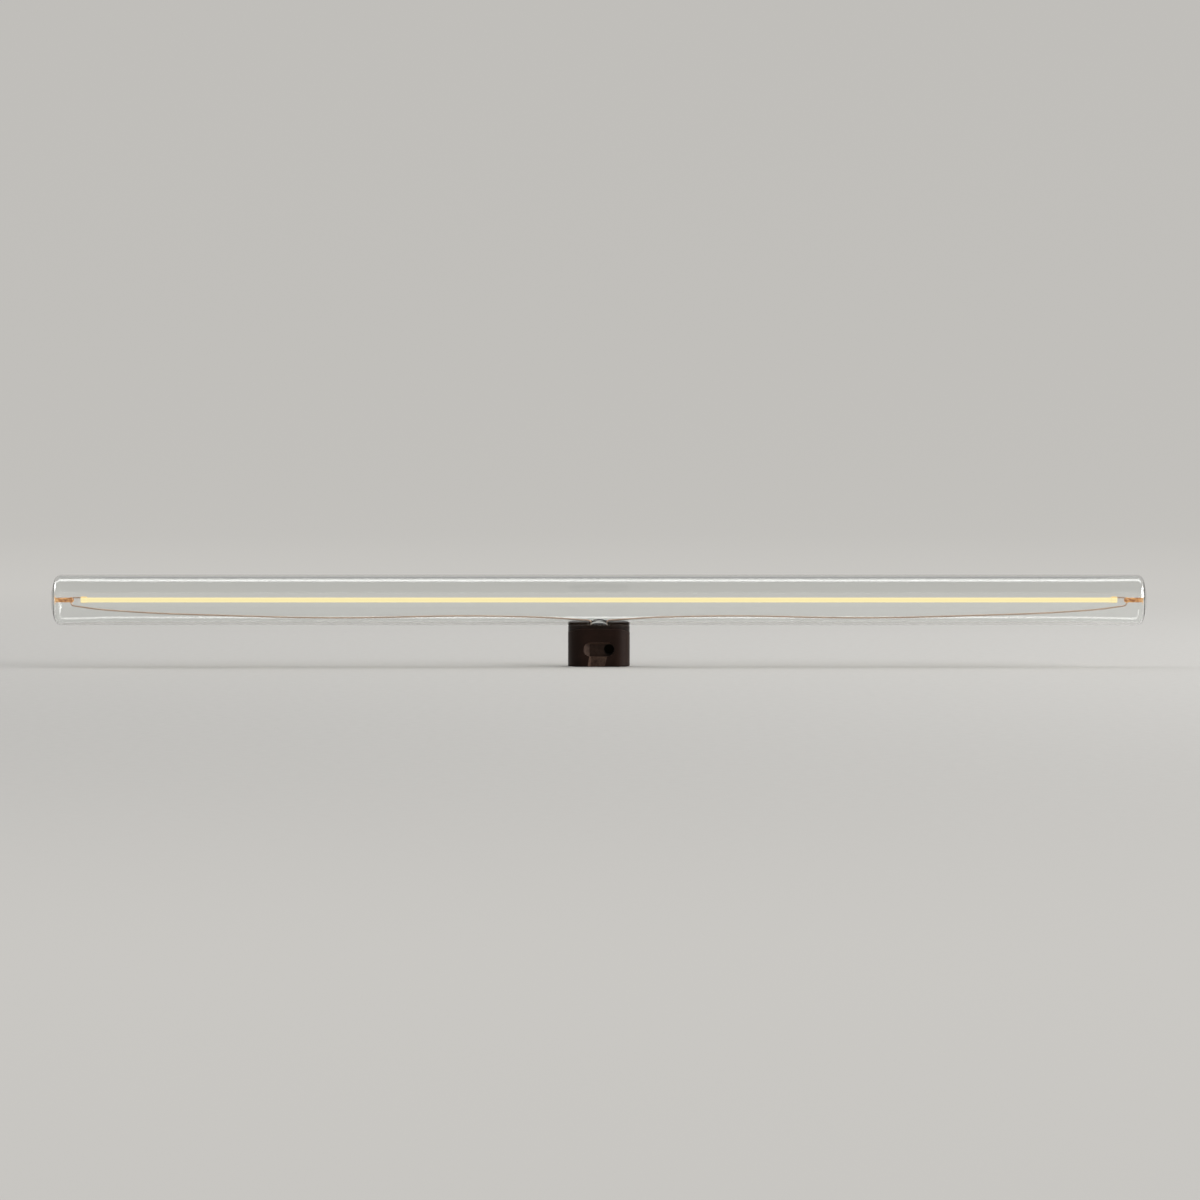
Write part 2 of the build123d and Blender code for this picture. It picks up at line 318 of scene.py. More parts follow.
def neck_patch(inset, hole_radius, flare):
    """Tube wall round the neck: each point slides from the neck's circle to the rim, slowly at first. Near
    the circle it sinks in a quarter round, so the wall flares into the neck."""
    rim_x, rim_angle = patch_rim()
    heading = np.arctan2(rim_angle / pi, rim_x / patch_half)
    hole_x = hole_radius * np.cos(heading)
    hole_angle = np.arcsin(hole_radius * np.sin(heading) / (tube_radius - inset))
    slide = np.linspace(0, 1, steps_of_slide + 1)[:, None] ** slide_power
    x = hole_x + slide * (rim_x - hole_x)
    angle = hole_angle + slide * (rim_angle - hole_angle)
    wall = on_tube(x, angle, tube_radius - inset)
    flat_wall = hole_radius + flare
    reach = np.where(np.cos(angle) > 0, np.hypot(wall[..., 0], wall[..., 1]), flat_wall)
    into_flare = np.clip((flat_wall - reach) / max(flare, sew_distance), 0, 1)
    wall[..., 2] -= flare * (1 - np.sqrt(1 - into_flare**2))
    return wall, heading


def neck_wall(edge, heading, radius, height):
    """Neck below the tube: straight down from its edge on the tube, then rings of a turned profile."""
    radius = np.array(radius)[:, None]
    height = np.array(height)[:, None]
    rings = np.stack(np.broadcast_arrays(radius * np.cos(heading), radius * np.sin(heading), height), -1)
    down = np.linspace(0, 1, neck_points)[:-1, None, None]
    return np.concatenate([edge + down * (rings[0] - edge), rings])


def glass_skin(inset, hole_radius, flare, radius, height, hollow):
    """A whole skin of the glass: both closed halves, the patch between them and the neck below it."""
    patch, heading = neck_patch(inset, hole_radius, flare)
    neck = neck_wall(patch[0], heading, radius, height)
    return skin_mesh([closed_half(inset, 1), closed_half(inset, -1), patch, neck], hollow)


# %% Make the glass envelope
tip_points = 8
tip_turn = np.linspace(0, pi / 2, tip_points)
tip_radii = exhaust_tip_radius * np.cos(tip_turn)
tip_heights = stem_low.z + exhaust_tip_radius * (1 - np.sin(tip_turn))
outer_skin = glass_skin(
    inset=0.0,
    hole_radius=neck_radius,
    flare=0.0,
    radius=[neck_radius, exhaust_tip_radius, *tip_radii],
    height=[button_foot, button_foot, *tip_heights],
    hollow=False,
)
button_top = button_foot + button_thickness
inner_skin = glass_skin(
    inset=tube_wall,
    hole_radius=neck_bore_radius,
    flare=neck_flare,
    radius=[neck_bore_radius, 0.5 * neck_bore_radius, 0.0],
    height=[button_top, button_top, button_top],
    hollow=True,
)
envelope = make_piece(
    "glass_envelope", [outer_skin, inner_skin], glass_finish, "clear_glass", "glass_tube", "glass_stem"
)
# Light that the paper scatters passes by the glass, so no caustics speckle it.
envelope.visible_diffuse = False

# %% [markdown]
# ## Amber glass rods
#
# A short glass rod is melted into the middle of each end. It carries some of the strip's light, so it
# looks amber and uneven, brightest at its root. Noise gives the blotches, and the same colour is a painted
# glow, palest at the root, that stands for the carried light, since the rod is no lamp. The rod is one
# turned profile: a flare where it meets the end, a slim shaft with small swells left by the flame, and a
# bead that holds the wire's hook.

# %% Amber glass finish
rod_blotch_size = (1.5 * mm, 0.9 * mm, 0.9 * mm)
rod_painted_glow_length = 4 * mm


def flamed_amber_glass():
    """Half-clear amber glass, blotched by the flame, with a painted glow in its own tones, palest at its
    root.
    """
    material, tree = start_material("flamed_amber_glass")
    blotch = blotches(tree, rod_blotch_size, detail=3.0)
    tone = colour_span(tree, blotch, "#8C4E10", "#E8B470", low=0.36, high=0.68)
    place = add_node(tree, "TexCoord").outputs["Object"]
    x = add_node(tree, "SeparateXYZ", {"Vector": place}).outputs["X"]
    reach = add_node(tree, "Math", {0: x}, operation="ABSOLUTE").outputs["Value"]
    # Painted glow: the rod is no lamp, so this emission stands for strip light carried along it, palest at
    # the root.
    painted_glow_at_root = add_node(
        tree,
        "MapRange",
        {"Value": reach, "From Min": half_length - rod_painted_glow_length, "From Max": half_length},
        interpolation_type="SMOOTHSTEP",
    ).outputs["Result"]
    glow = add_node(
        tree,
        "Mix",
        {"Factor": painted_glow_at_root, mix_first: tone, mix_second: linear("#FFE0AA")},
        data_type="RGBA",
    ).outputs[mix_result]
    shader = add_node(
        tree,
        "BsdfPrincipled",
        {
            "Base Color": tone,
            "Roughness": 0.12,
            "IOR": glass_ior,
            "Transmission Weight": 0.25,
            "Emission Color": glow,
            "Emission Strength": 0.42,
        },
    )
    finish_material(tree, shader.outputs["BSDF"])
    return material


amber_finish = flamed_amber_glass()
print("rod finish:", amber_finish.name)

# %% Make the rods
rod_radius = 1.1 * mm
rod_root_flare = 1.3 * mm
rod_bead_radius = 1.3 * mm
rod_end_inset = 0.12 * mm
rod_swell = 0.05 * mm
rod_swell_pitch = 2.3 * mm
rod_steps_round = 32
face_points = 6
flare_points = 9
ball_points = 14
shaft_points = 40
bead_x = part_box("right_support_rod")[0].x + rod_bead_radius


def rod_grid(side):
    """Turned rod from its outer pole inwards: a face that follows the crown, a hollow quarter arc down to
    the shaft, the shaft with a radius that swells in a slow sine, and a ball."""
    root_radius = rod_radius + rod_root_flare
    root_x = crown_x + sqrt(crown_radius**2 - root_radius**2) - rod_end_inset
    flare_x = root_x - rod_root_flare
    face = np.linspace(0, root_radius, face_points)[:-1]
    flare = np.linspace(0, pi / 2, flare_points)
    ball = np.linspace(np.arcsin(rod_radius / rod_bead_radius), pi, ball_points)
    shaft = np.linspace(flare_x, bead_x + rod_bead_radius * cos(ball[0]), shaft_points)[1:-1]
    x = [
        crown_x + np.sqrt(crown_radius**2 - face**2) - rod_end_inset,
        flare_x + rod_root_flare * np.cos(flare),
        shaft,
        bead_x + rod_bead_radius * np.cos(ball),
    ]
    radius = [
        face,
        root_radius - rod_root_flare * np.sin(flare),
        rod_radius + rod_swell * np.sin(2 * pi * (flare_x - shaft) / rod_swell_pitch),
        rod_bead_radius * np.sin(ball),
    ]
    turn = np.linspace(-pi, pi, rod_steps_round + 1)
    return on_tube(side * np.concatenate(x)[:, None], turn, np.concatenate(radius)[:, None])


for side, hand in ((-1, "left"), (1, "right")):
    rod_skin = skin_mesh([rod_grid(side)])
    make_piece(hand + "_amber_rod", [rod_skin], amber_finish, "amber_glass", hand + "_support_rod")

# %% [markdown]
# ## The light strip
#
# The strip is a row of tiny chips under a bead of silicone filled with yellow phosphor. Lit, it is one
# even cream line, a touch darker along its middle where the carrier lies, with fatter dabs over the welds
# at its ends. It is a rounded section carried along X that swells into each dab. The colour is the one the
# eye sees, so the glow itself is only about as strong as white paper in the studio.

# %% Lit phosphor finish
chip_pitch = 1.6 * mm
chip_bump = 0.05 * mm
carrier_half_width = 0.3 * mm
carrier_blend = 0.05
phosphor_rim = 0.95 * mm
wave_texture_rate = 20
silicone_ior = 1.41


def lit_phosphor_silicone():
    """Cream glow: a touch darker on the axis, palest beside it and amber at the rim. At scale one a wave
    texture turns a fixed number of radians per metre, and the scale fits that to the chips' pitch."""
    material, tree = start_material("lit_phosphor_silicone")
    place = add_node(tree, "TexCoord").outputs["Object"]
    height = add_node(tree, "SeparateXYZ", {"Vector": place}).outputs["Z"]
    off_axis = add_node(tree, "Math", {0: height, 1: axis_height}, operation="SUBTRACT").outputs["Value"]
    off_axis = add_node(tree, "Math", {0: off_axis}, operation="ABSOLUTE").outputs["Value"]
    across = add_node(
        tree, "MapRange", {"Value": off_axis, "From Max": phosphor_rim + carrier_half_width}
    ).outputs["Result"]
    glow = add_node(tree, "ValToRGB", {"Fac": across})
    rim_place = phosphor_rim / (phosphor_rim + carrier_half_width)
    glow.color_ramp.elements[0].color = linear("#F6E2A8")
    glow.color_ramp.elements[1].color = linear("#F0CB84")
    for position, colour in ((1 - rim_place + carrier_blend, "#FDF1B8"), (rim_place, "#FDF1B8")):
        glow.color_ramp.elements.new(position).color = linear(colour)
    chips = add_node(
        tree,
        "TexWave",
        {"Vector": place, "Scale": 2 * pi / (wave_texture_rate * chip_pitch), "Distortion": 0.0},
        bands_direction="X",
    ).outputs["Fac"]
    bump = add_node(tree, "Bump", {"Height": chips, "Strength": 0.3, "Distance": chip_bump})
    shader = add_node(
        tree,
        "BsdfPrincipled",
        {
            "Base Color": linear("#6E5420"),
            "Roughness": 0.45,
            "IOR": silicone_ior,
            "Emission Color": glow.outputs["Color"],
            "Emission Strength": 1.0,
            "Normal": bump.outputs["Normal"],
        },
    )
    finish_material(tree, shader.outputs["BSDF"])
    return material


phosphor_finish = lit_phosphor_silicone()
print("strip finish:", phosphor_finish.name)

# %% Make the light strip
strip_end_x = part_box("led_filament")[1].x
strip_half_height = 1.1 * mm
strip_half_depth = 0.8 * mm
dab_length = 3.2 * mm
dab_blend = 0.8 * mm
dab_swell_above = 0.5 * mm
dab_swell_below = 0.15 * mm
dab_swell_depth = 0.2 * mm
end_round = 0.5 * mm
strip_steps_round = 48
run_points = 20
dab_points = 40
close_points = 10


def strip_grid():
    """Section whose fourth powers add up to one, carried along X. A smooth step swells it over each dab,
    more above than below, and a quarter round closes each end."""
    sparse = np.linspace(0, strip_end_x - 2 * dab_length, run_points)
    dense = np.linspace(strip_end_x - 2 * dab_length, strip_end_x - end_round, dab_points)[1:]
    close = np.linspace(0, pi / 2, close_points)[1:]
    half_x = np.concatenate([sparse, dense, strip_end_x - end_round * (1 - np.sin(close))])
    shrink = np.concatenate([0 * sparse, 0 * dense, end_round * (1 - np.cos(close))])
    swell = np.clip((half_x - (strip_end_x - dab_length)) / dab_blend, 0, 1)
    swell = swell**2 * (3 - 2 * swell)
    x = np.concatenate([-half_x[:0:-1], half_x])[:, None]
    shrink = np.concatenate([shrink[:0:-1], shrink])[:, None]
    swell = np.concatenate([swell[:0:-1], swell])[:, None]
    turn = np.linspace(-pi, pi, strip_steps_round + 1)
    y = np.sign(np.sin(turn)) * np.sqrt(np.abs(np.sin(turn)))
    z = np.sign(np.cos(turn)) * np.sqrt(np.abs(np.cos(turn)))
    depth = strip_half_depth + swell * dab_swell_depth - shrink
    above = strip_half_height + swell * dab_swell_above - shrink
    below = strip_half_height + swell * dab_swell_below - shrink
    height = axis_height + np.where(z > 0, above, below) * z
    body = np.stack(np.broadcast_arrays(x, depth * y, height), -1)
    ends = [np.broadcast_to(body[row].mean(0), body[:1].shape) for row in (0, -1)]
    return np.concatenate([ends[0], body, ends[1]])


make_piece("light_strip", [skin_mesh([strip_grid()])], phosphor_finish, "lit_phosphor", "led_filament")

# %% [markdown]
# ## Nickel lead wires
#
# Both wires are bare nickel, drawn through a die and bent by hand. Drawing leaves fine lines along the
# wire. The warm tint of its colour is painted, standing for the lit strip's warm light. The CAD wires
# already have the bends of the real ones, so they stay and only get a finish: a metal with a painted warm
# tint and stretched noise in its roughness.

# %% Drawn nickel finish
draw_line_size = (9 * mm, 0.15 * mm, 0.15 * mm)


def drawn_nickel():
    """Satin metal with a painted warm tint for the strip's light, and the fine lines of the die along it.
    """
    material, tree = start_material("drawn_nickel")
    lines = blotches(tree, draw_line_size)
    # The warm colours are painted light from the lit strip.
    tone = colour_span(tree, lines, "#C0A08B", "#DFC6B5")
    rough = add_node(
        tree, "MapRange", {"Value": lines, "To Min": 0.22, "To Max": 0.38}
    ).outputs["Result"]
    shader = add_node(tree, "BsdfPrincipled", {"Base Color": tone, "Metallic": 1.0, "Roughness": rough})
    finish_material(tree, shader.outputs["BSDF"])
    return material


def dress(node, material):
    """Gives a CAD node's own object a finish and leaves its mesh alone."""
    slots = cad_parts[node].data.materials
    slots.clear()
    slots.append(material)


nickel_finish = drawn_nickel()
for node in ("left_lead_wire", "right_lead_wire"):
    dress(node, nickel_finish)
print("wire finish:", nickel_finish.name)

# %% [markdown]
# ## The clear seal
#
# A pad of clear silicone lies between the tube and the cap. Its foot follows the cap's saddle, its top
# follows the tube and is flat where it stands clear of it, and its outline is the cap's oblong. Seen from
# above it is a ring round the neck, so it is one grid of heading by a closed loop: out along the foot, up
# the rim and back along the top. It keeps a hair's breadth from its neighbours, because two clear
# surfaces in one place would flicker. The clear pad is painted a dark brown that lets only a little light
# through: painted shade that stands for the brown cap and the shadow seen through it.

# %% Clear silicone finish
silicone_blotch_size = (3 * mm, 3 * mm, 1.5 * mm)


def clear_moulded_silicone():
    """Clear pad painted dark brown as painted shade, with a weak sheen, faintly clouded."""
    material, tree = start_material("clear_moulded_silicone")
    cloud = blotches(tree, silicone_blotch_size)
    # Painted shade: the clear pad is dark brown for the cap and the shadow seen through it.
    tone = colour_span(tree, cloud, "#1C120C", "#291C15")
    rough = add_node(tree, "MapRange", {"Value": cloud, "To Min": 0.15, "To Max": 0.3}).outputs["Result"]
    shader = add_node(
        tree,
        "BsdfPrincipled",
        {
            "Base Color": tone,
            "Roughness": rough,
            "IOR": silicone_ior,
            "Specular IOR Level": 0.15,
            "Alpha": 0.93,
        },
    )
    finish_material(tree, shader.outputs["BSDF"])
    return material


silicone_finish = clear_moulded_silicone()
print("seal finish:", silicone_finish.name)

# %% Make the seal
seal_low, seal_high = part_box("seal")
saddle_radius = axis_height - seal_low.z
seal_gap = 0.04 * mm
seal_edge = 0.35 * mm
seal_steps_round = 144
share_points = 15
edge_points = 6
least_sine = 1e-6
oblong_half_depth = seal_high.y - seal_gap
oblong_half_straight = seal_high.x - seal_high.y


def oblong_reach(heading, inset):
    """Distance from the middle to an oblong's outline: a straight side, or else a half-round end."""
    across = np.abs(np.sin(heading))
    along = np.abs(np.cos(heading))
    radius = oblong_half_depth - inset
    to_side = radius / np.maximum(across, least_sine)
    root = np.sqrt(np.maximum(radius**2 - (oblong_half_straight * across) ** 2, 0))
    return np.where(to_side * along <= oblong_half_straight, to_side, oblong_half_straight * along + root)


def seal_grid():
    """Closed loop round the seal's wall for each heading. Share 0 is the neck and share 1 the outline, and
    the outline draws in near the top by a quarter round."""
    heading = np.linspace(-pi, pi, seal_steps_round + 1)
    hole = neck_radius + seal_gap
    share = np.linspace(0, 1, share_points)[:, None]
    round_off = np.linspace(0, pi / 2, edge_points)[:, None]

    def foot(reach):
        return axis_height - np.sqrt(saddle_radius**2 - (reach * np.sin(heading)) ** 2) + seal_gap

    def top(reach):
        under_tube = np.sqrt((tube_radius + seal_gap) ** 2 - (reach * np.sin(heading)) ** 2)
        return np.minimum(axis_height - under_tube, seal_high.z)

    outline = oblong_reach(heading, 0.0)
    foot_reach = hole + share * (outline - hole)
    edge_reach = oblong_reach(heading, seal_edge * (1 - np.cos(round_off)))
    inner_edge = oblong_reach(heading, seal_edge)
    top_reach = hole + share[-2::-1] * (inner_edge - hole)
    reach = np.concatenate([foot_reach, edge_reach, top_reach, foot_reach[:1]])
    edge_height = top(edge_reach) - seal_edge * (1 - np.sin(round_off))
    height = np.concatenate([foot(foot_reach), edge_height, top(top_reach), foot(foot_reach[:1])])
    return np.stack([reach * np.cos(heading), reach * np.sin(heading), height], -1)


make_piece("seal_pad", [skin_mesh([seal_grid()])], silicone_finish, "clear_silicone", "seal")

# %% [markdown]
# ## The moulded cap
# The cap is dark brown phenolic plastic, pressed in a steel mould. Moulded edges are never knife-sharp,
# and it is the small round on each edge that catches the light. The CAD body has the exact shape, so the
# cap is a merged copy of it. A Bevel modifier would tear where a recess runs out to nothing, so a Bevel
# node rounds the edges in the shading instead, and finds them for painted light. The edges, the lead-in
# ramps and the slope, brow and floor of the recesses get painted light, a lighter brown where light would
# catch them, and the contact holes get a painted shade round them. Painted light on whole faces is a
# number on each face, which the material reads as an attribute.

# %% Moulded phenolic finish
# The grain of the real mould is too fine to show, so it is drawn this coarse.
mould_grain_size = (0.35 * mm, 0.35 * mm, 0.35 * mm)
mould_grain_depth = 0.05 * mm
brown_cloud_size = (7 * mm, 7 * mm, 7 * mm)
painted_light_patch_size = (1.1 * mm, 1.1 * mm, 1.1 * mm)
contact_hole_x = 4.65 * mm
contact_hole_z = 7.9 * mm
contact_hole_radius = 2.15 * mm
painted_shade_fade = 0.6 * mm
cap_edge_round = 0.3 * mm


# Painted shade round each contact hole, near black at its rim.
def hole_painted_shade(tree):
    """Painted shade round a contact hole: one at its rim and nothing a little way out. The hole at the back
    is the front one after a half turn, so x is read with the sign of y."""
    place = add_node(tree, "TexCoord").outputs["Object"]
    axes = add_node(tree, "SeparateXYZ", {"Vector": place}).outputs
    behind = add_node(tree, "Math", {0: axes["Y"]}, operation="SIGN").outputs["Value"]
    x = add_node(tree, "Math", {0: axes["X"], 1: behind}, operation="MULTIPLY").outputs["Value"]
    turned = add_node(tree, "CombineXYZ", {"X": x, "Z": axes["Z"]}).outputs["Vector"]
    hole = (-contact_hole_x, 0.0, contact_hole_z)
    distance = add_node(tree, "VectorMath", {0: turned, 1: hole}, operation="DISTANCE").outputs["Value"]
    return add_node(
        tree,
        "MapRange",
        {"Value": distance, "From Min": contact_hole_radius + painted_shade_fade, "From Max": contact_hole_radius},
        interpolation_type="SMOOTHSTEP",
    ).outputs["Result"]


def moulded_brown_phenolic():
    """Satin dark brown, patchily lighter with painted light on edges and sunken faces, and black with a
    painted shade round the holes. Where the rounded normal leaves the flat one, there is an edge."""
    material, tree = start_material("moulded_brown_phenolic")
    cloud = blotches(tree, brown_cloud_size, detail=4.0)
    moulded = colour_span(tree, cloud, "#1D0F08", "#271710")
    # Painted light: a lighter brown on edges and sunken faces, where light would catch them.
    painted_lighter = colour_span(tree, cloud, "#543F35", "#604D42")
    patch = blotches(tree, painted_light_patch_size)
    patches = add_node(
        tree, "MapRange", {"Value": patch, "From Min": 0.3, "From Max": 0.6, "To Min": 0.5}
    ).outputs["Result"]
    rounded = add_node(tree, "Bevel", {"Radius": cap_edge_round}, samples=6).outputs["Normal"]
    flat = add_node(tree, "NewGeometry").outputs["Normal"]
    alike = add_node(tree, "VectorMath", {0: rounded, 1: flat}, operation="DOT_PRODUCT").outputs["Value"]
    on_edge = add_node(
        tree, "MapRange", {"Value": alike, "From Min": 0.96, "From Max": 0.8}
    ).outputs["Result"]
    on_face = add_node(tree, "Attribute", attribute_name="painted_light").outputs["Fac"]
    painted_light = add_node(tree, "Math", {0: on_edge, 1: on_face}, operation="MAXIMUM").outputs["Value"]
    painted_light_share = add_node(tree, "Math", {0: painted_light, 1: patches}, operation="MULTIPLY").outputs["Value"]
    tone = add_node(
        tree, "Mix", {"Factor": painted_light_share, mix_first: moulded, mix_second: painted_lighter}, data_type="RGBA"
    ).outputs[mix_result]
    # Painted shade: near black round the contact holes.
    tone = add_node(
        tree,
        "Mix",
        {"Factor": hole_painted_shade(tree), mix_first: tone, mix_second: linear("#0A0604")},
        data_type="RGBA",
    ).outputs[mix_result]
    rough = add_node(tree, "MapRange", {"Value": cloud, "To Min": 0.36, "To Max": 0.48}).outputs["Result"]
    grain = blotches(tree, mould_grain_size)
    bump = add_node(
        tree, "Bump", {"Height": grain, "Strength": 0.12, "Distance": mould_grain_depth, "Normal": rounded}
    )
    shader = add_node(
        tree,
        "BsdfPrincipled",
        {
            "Base Color": tone,
            "Roughness": rough,
            "Specular IOR Level": 0.12,
            "Normal": bump.outputs["Normal"],
        },
    )
    finish_material(tree, shader.outputs["BSDF"])
    return material


phenolic_finish = moulded_brown_phenolic()
print("cap finish:", phenolic_finish.name)

# %% Make the cap
merge_distance = 0.002 * mm
flat_angle = radians(0.4)
cap_crease = radians(20)


def merged_copy(node):
    """Copy of a CAD node's triangles with shared corners joined and flat neighbours made one face. The
    normals that the triangles stored for their corners don't fit the joined faces, so they go."""
    copy = bmesh.new()
    copy.from_mesh(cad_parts[node].data)
    bmesh.ops.remove_doubles(copy, verts=copy.verts, dist=merge_distance)
    bmesh.ops.dissolve_limit(copy, angle_limit=flat_angle, verts=copy.verts, edges=copy.edges)
    mesh = bpy.data.meshes.new("merged")
    copy.to_mesh(mesh)
    copy.free()
    stored_normals = mesh.attributes.get("custom_normal")
    if stored_normals is not None:
        mesh.attributes.remove(stored_normals)
    return mesh


cap_skin = merged_copy("cap_housing")
cap = make_piece("moulded_cap", [cap_skin], phenolic_finish, "brown_plastic", "cap_housing")
cap.data.set_sharp_from_angle(angle=cap_crease)
flat_faces = cap.modifiers.new("flat_faces", "WEIGHTED_NORMAL")
flat_faces.keep_sharp = True

# %% Paint light on the cap
latch_bottom = 4.7 * mm
ramp_low_x = -5.1 * mm
ramp_high_x = 3.8 * mm
slope_foot_x = -4.2 * mm
brow_foot_z = 10.3 * mm
recess_half_length = 7.0 * mm
front_depth = 6.97 * mm
ramp_painted_light = 1.0
slope_painted_light = 0.7
brow_painted_light = 1.6
floor_painted_light = 0.3


def cap_painted_light(mesh):
    """Painted light of each face by its middle, if it lies sunken in the front: on the ramp below the
    recess, or on the recess's slope, brow or floor. Beside the ramp only the round of the foot is sunken,
    and that gets none. The back is turned to the front by a half turn."""
    middle = np.empty(3 * len(mesh.polygons), dtype=np.float32)
    mesh.polygons.foreach_get("center", middle)
    x, y, z = middle.reshape(-1, 3).T
    x = np.where(y > 0, -x, x)
    sunken = (np.abs(x) < recess_half_length) & (np.abs(y) < front_depth) & (z > merge_distance)
    beside_ramp = (z < latch_bottom) & ((x < ramp_low_x) | (x > ramp_high_x))
    sunken &= ~beside_ramp
    on_ramp = sunken & (z < latch_bottom)
    on_slope = sunken & (z > latch_bottom) & (x < slope_foot_x)
    on_brow = sunken & (z > brow_foot_z)
    places = [on_ramp, on_slope, on_brow, sunken]
    return np.select(places, [ramp_painted_light, slope_painted_light, brow_painted_light, floor_painted_light], 0.0)


# Painted light on the ramp, slope, brow and floor of each recess, kept as a number on each face.
painted_light = cap_painted_light(cap.data)
cap.data.attributes.new("painted_light", "FLOAT", "FACE").data.foreach_set("value", painted_light)
print(np.count_nonzero(painted_light), "of", len(painted_light), "faces of the cap are rubbed")

# %% [markdown]
# ## Parts inside the cap
#
# Cement, contacts and the driver board are shut inside the cap. Only a contact shows, at the bottom of
# each hole. They keep their CAD shapes, and each kind gets its own finish: two colours mixed by noise of
# the right size, and a roughness that suits the material.


# %% Finishes inside the cap
def speckled(name, dark, light, speckle, roughness, metallic=0.0):
    """Two close colours mixed by noise of one speckle size, with a bump of the same grain."""
    material, tree = start_material(name)
    grain = blotches(tree, (speckle, speckle, speckle), detail=3.0)
    tone = colour_span(tree, grain, dark, light)
    bump = add_node(tree, "Bump", {"Height": grain, "Strength": 0.2, "Distance": 0.1 * speckle})
    shader = add_node(
        tree,
        "BsdfPrincipled",
        {
            "Base Color": tone,
            "Roughness": roughness,
            "Metallic": metallic,
            "Normal": bump.outputs["Normal"],
        },
    )
    finish_material(tree, shader.outputs["BSDF"])
    return material


inner_finishes = {
    "cured_basing_cement": (("#A89C88", "#C8BDA9", 0.6 * mm, 0.9), ["cap_cement"]),
    # The contacts are painted near black: tarnish, and painted shade of the deep holes they sit in.
    "tarnished_brass_painted_black": (("#0E0B07", "#16120C", 0.9 * mm, 0.6, 1.0), ["front_contact", "rear_contact"]),
    "green_glass_epoxy": (("#20502F", "#2C643E", 0.8 * mm, 0.45), ["driver_board"]),
    "moulded_black_epoxy": (
        ("#141414", "#202020", 0.25 * mm, 0.55),
        ["bridge_rectifier", "inner_driver_chip", "outer_driver_chip", "surge_absorber"],
    ),
    "lacquered_ceramic": (("#4F7488", "#6389A0", 0.7 * mm, 0.3), ["fuse_resistor"]),
    "white_sleeve_plastic": (
        ("#DAD9D3", "#ECEBE6", 0.9 * mm, 0.5),
        ["left_lead_sleeve", "right_lead_sleeve"],
    ),
}
for name, (look, dressed_nodes) in inner_finishes.items():
    finish = speckled(name, *look)
    for node in dressed_nodes:
        dress(node, finish)
    print(name, "on", ", ".join(dressed_nodes))

# %% [markdown]
# ## The studio
#
# A sheet of pale grey paper lies under the lamp and curves up all round it, so no view has a horizon. The
# paper is not quite white: the lit strip and the bright lines on the glass have to stand out from it. A
# soft box that stands low at the side would leave a burnt-out patch beside it, so the soft boxes light only
# the paper round the object, and further out the paper shows one even grey of its own.

# %% Make the paper cove
paper_flat = 2.6
paper_bend = 1.6
paper_top = 3.2
paper_drop = 0.02 * mm
# Paper fibres are too fine to show, so soft clouds of this size stand for them.
paper_fibre_size = (4 * mm, 4 * mm, 4 * mm)
paper_lit_reach = 0.3
paper_even_reach = 1.2
paper_steps_round = 96
flat_points = 8
bend_points = 20
wall_points = 4


def paper_grid():
    """Profile turned about Z: flat out to the bend, a quarter round up, and a straight wall. It lies a hair
    below the foot, so the two don't flicker."""
    flat = np.linspace(0, paper_flat, flat_points)
    bend = np.linspace(0, pi / 2, bend_points)[1:]
    wall = np.linspace(paper_bend, paper_top, wall_points)[1:]
    reach = [flat, paper_flat + paper_bend * np.sin(bend), np.full_like(wall, paper_flat + paper_bend)]
    height = [0 * flat, paper_bend * (1 - np.cos(bend)), wall]
    reach = np.concatenate(reach)[:, None]
    turn = np.linspace(-pi, pi, paper_steps_round + 1)
    height = np.concatenate(height)[:, None] - paper_drop
    return np.stack(np.broadcast_arrays(reach * np.cos(turn), reach * np.sin(turn), height), -1)


def matt_paper():
    """Matt paper that the soft boxes light near the middle. Further out it takes less of their light, and
    glows evenly to whatever sees it straight, mirrored or through glass. That glow lights nothing."""
    material, tree = start_material("matt_studio_paper")
    fibre = blotches(tree, paper_fibre_size, detail=4.0)
    lit = colour_span(tree, fibre, "#C3C1BD", "#C7C5C1")
    place = add_node(tree, "TexCoord").outputs["Object"]
    distance = add_node(tree, "VectorMath", {0: place}, operation="LENGTH").outputs["Value"]
    far = add_node(
        tree,
        "MapRange",
        {"Value": distance, "From Min": paper_lit_reach, "From Max": paper_even_reach},
        interpolation_type="SMOOTHSTEP",
    ).outputs["Result"]
    tone = add_node(
        tree,
        "Mix",
        {"Factor": far, mix_first: lit, mix_second: linear("#444341")},
        data_type="RGBA",
    ).outputs[mix_result]
    path = add_node(tree, "LightPath").outputs
    seen = add_node(
        tree, "Math", {0: path["Is Camera Ray"], 1: path["Is Glossy Ray"]}, operation="MAXIMUM"
    ).outputs["Value"]
    seen = add_node(
        tree, "Math", {0: seen, 1: path["Is Transmission Ray"]}, operation="MAXIMUM"
    ).outputs["Value"]
    glow = add_node(tree, "Math", {0: seen, 1: far}, operation="MULTIPLY").outputs["Value"]
    shader = add_node(
        tree,
        "BsdfPrincipled",
        {
            "Base Color": tone,
            "Roughness": 0.9,
            "Specular IOR Level": 0.2,
            "Emission Color": linear("#BCBAB6"),
            "Emission Strength": glow,
        },
    )
    finish_material(tree, shader.outputs["BSDF"])
    return material


paper = bpy.data.objects.new("studio_paper", skin_mesh([paper_grid()]))
paper.data.shade_smooth()
paper.data.materials.append(matt_paper())
bpy.context.scene.collection.objects.link(paper)
print("paper reaches", paper_flat + paper_bend, "m and stands", paper_top, "m high")

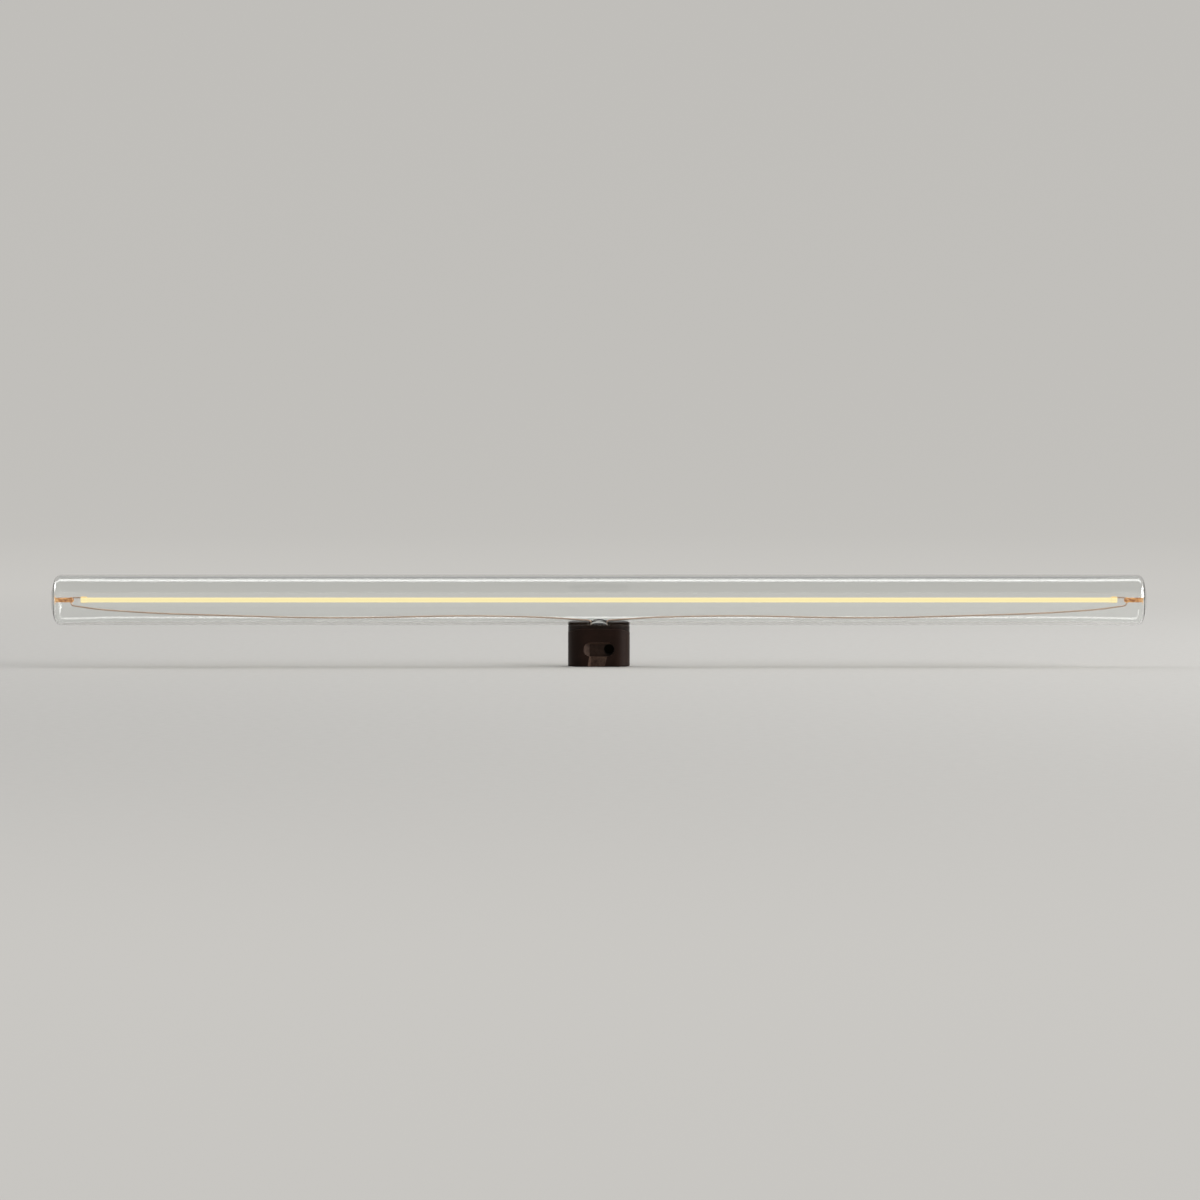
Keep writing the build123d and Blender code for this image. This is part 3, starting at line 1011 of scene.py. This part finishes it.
# %% [markdown]
# ## Light
#
# One long soft box hangs over the tube, a little behind it. A round tube mirrors it as a thin bright line
# along the front wall, and the back wall mirrors it again lower down. A large soft box at the right lights
# the cap, and a weaker one behind on the left draws a thin rim on its other side. A tube seen from the
# front doesn't mirror what stands beside it, so these two leave no bands along the glass.


# %% Hang the soft boxes
def soft_box(name, place, width, height, radiance):
    """Soft box that faces the middle of the tube. Its power is radiance times pi times its area."""
    lamp = bpy.data.lights.new(name, "AREA")
    lamp.shape = "RECTANGLE"
    lamp.size = width
    lamp.size_y = height
    lamp.energy = radiance * pi * width * height
    box = bpy.data.objects.new(name, lamp)
    box.location = place
    to_lamp = Vector((0, 0, axis_height)) - Vector(place)
    box.rotation_euler = to_lamp.to_track_quat("-Z", "Y").to_euler()
    box.visible_camera = False
    bpy.context.scene.collection.objects.link(box)
    print(name, "at", place, "with", round(lamp.energy, 1), "W")


soft_box("overhead_strip", place=(0.0, 0.62, 1.96), width=3.4, height=0.52, radiance=3.6)
soft_box("right_box", place=(2.4, -0.45, 1.0), width=2.4, height=1.5, radiance=8.2)
soft_box("left_box", place=(-2.2, 0.9, 1.2), width=1.2, height=0.9, radiance=5.0)

air_strength = 0.35
world = bpy.data.worlds.new("studio_air")
world.use_nodes = True
air = world.node_tree.nodes["Background"].inputs
air["Color"].default_value = linear("#E9EBEE")
air["Strength"].default_value = air_strength
bpy.context.scene.world = world
bpy.context.scene.view_settings.view_transform = "Standard"

# %% [markdown]
# ## Camera
#
# The photograph was taken from straight in front, far away and only just above the lamp. The frame is
# 1.096 tube lengths wide.

# %% Place the camera
camera_distance = 2.0
camera_elevation = radians(2.0)
frame_width = 0.5478
sensor_width = 36.0
view_middle_x = 0.5 * mm
target = Vector((view_middle_x, 0.0, axis_height))

camera_data = bpy.data.cameras.new("front_camera")
camera_data.sensor_width = sensor_width
camera_data.lens = sensor_width * camera_distance / frame_width
camera = bpy.data.objects.new("front_camera", camera_data)
camera.location = target + camera_distance * Vector((0, -cos(camera_elevation), sin(camera_elevation)))
camera.rotation_euler = (pi / 2 - camera_elevation, 0, 0)
bpy.context.scene.collection.objects.link(camera)
bpy.context.scene.camera = camera
print("lens", round(camera_data.lens, 1), "mm")
